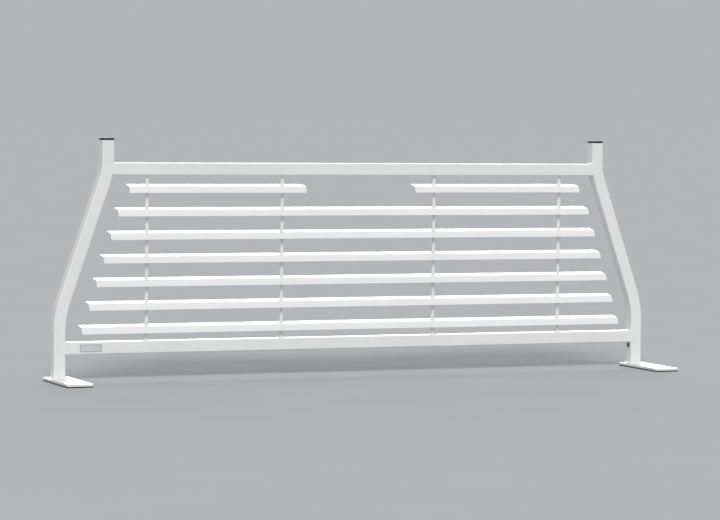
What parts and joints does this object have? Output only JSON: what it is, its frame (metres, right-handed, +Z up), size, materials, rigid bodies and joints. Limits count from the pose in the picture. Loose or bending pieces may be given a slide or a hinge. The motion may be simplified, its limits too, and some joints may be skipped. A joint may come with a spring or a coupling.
{
  "type": "headache rack",
  "caption": "Louvered headache rack for a pickup bed: bent square-tube uprights, top and bottom rails, formed sheet louvers on vertical rods, and slotted base plates.",
  "frame": {"origin": "on top of the bed rails, at the bottom centre of the part: midway between the two feet and midway along them", "axes": "+X to the truck's right, +Y forward to the cab, +Z up"},
  "size_m": [1.711, 0.215, 0.617],
  "materials": {
    "white_paint": "gloss white powder coat with slight orange peel",
    "cap_plastic": "satin black moulded plastic",
    "pad_rubber": "matt black rubber",
    "label_film": "blank satin grey label"
  },
  "bodies": {
    "root": {"upright_left": "white_paint", "upright_right": "white_paint", "end_cap_left": "cap_plastic", "end_cap_right": "cap_plastic", "top_rail": "white_paint", "bottom_rail": "white_paint", "louver_1_left": "white_paint", "louver_1_right": "white_paint", "louver_2": "white_paint", "louver_3": "white_paint", "louver_4": "white_paint", "louver_5": "white_paint", "louver_6": "white_paint", "louver_7": "white_paint", "rod_1": "white_paint", "rod_2": "white_paint", "rod_3": "white_paint", "rod_4": "white_paint", "base_plate_left": "white_paint", "base_plate_right": "white_paint", "rail_pad_left": "pad_rubber", "rail_pad_right": "pad_rubber", "foot_welds": "white_paint", "rail_welds": "white_paint", "rod_welds": "white_paint", "louver_welds": "white_paint", "label_plate": "label_film"}
  },
  "joints": []
}
